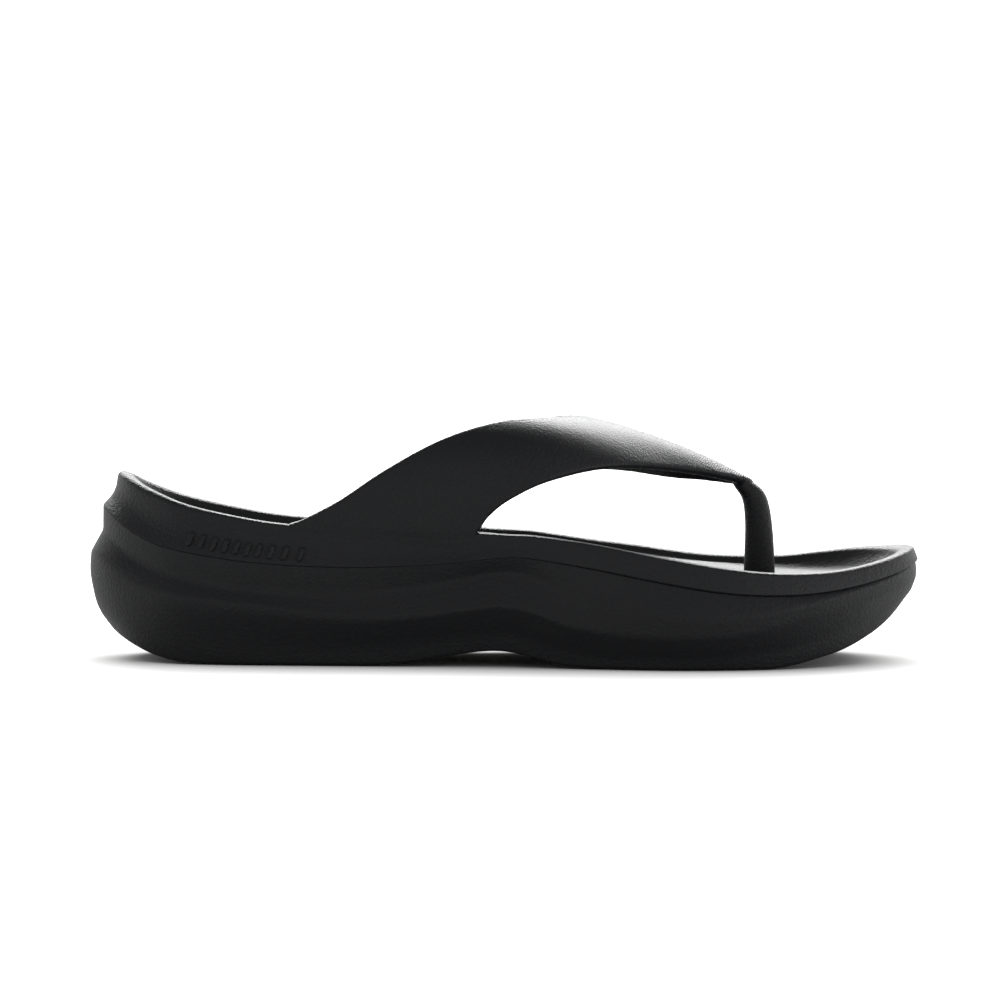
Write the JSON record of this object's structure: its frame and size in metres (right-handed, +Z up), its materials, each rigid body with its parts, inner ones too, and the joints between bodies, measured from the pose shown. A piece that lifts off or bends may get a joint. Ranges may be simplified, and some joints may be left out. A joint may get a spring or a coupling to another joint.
{
  "type": "flip flop",
  "caption": "Thick-soled moulded foam thong sandal for the right foot, with a contoured footbed, a broad one-piece strap and a toe post.",
  "frame": {"origin": "on the ground, under the middle of the sandal's overall length and width", "axes": "+X points to the toe, +Y to the big toe side (the inner side of a right foot), +Z up"},
  "size_m": [0.288, 0.104, 0.0856],
  "materials": {
    "sole_foam": "matte, fine leather grain",
    "footbed_foam": "matte, fine leather grain",
    "inlay_foam": "matte",
    "strap_foam": "satin, fine leather grain",
    "tread_rubber": "matte",
    "washer_plastic": "matte"
  },
  "bodies": {
    "root": {"lower_sole": "sole_foam", "footbed_cup": "footbed_foam", "footbed_inlay": "inlay_foam", "strap": "strap_foam", "post_washer": "washer_plastic", "heel_tread_outer": "tread_rubber", "heel_tread_inner": "tread_rubber", "ball_tread_outer": "tread_rubber", "ball_tread_inner": "tread_rubber"}
  },
  "joints": []
}
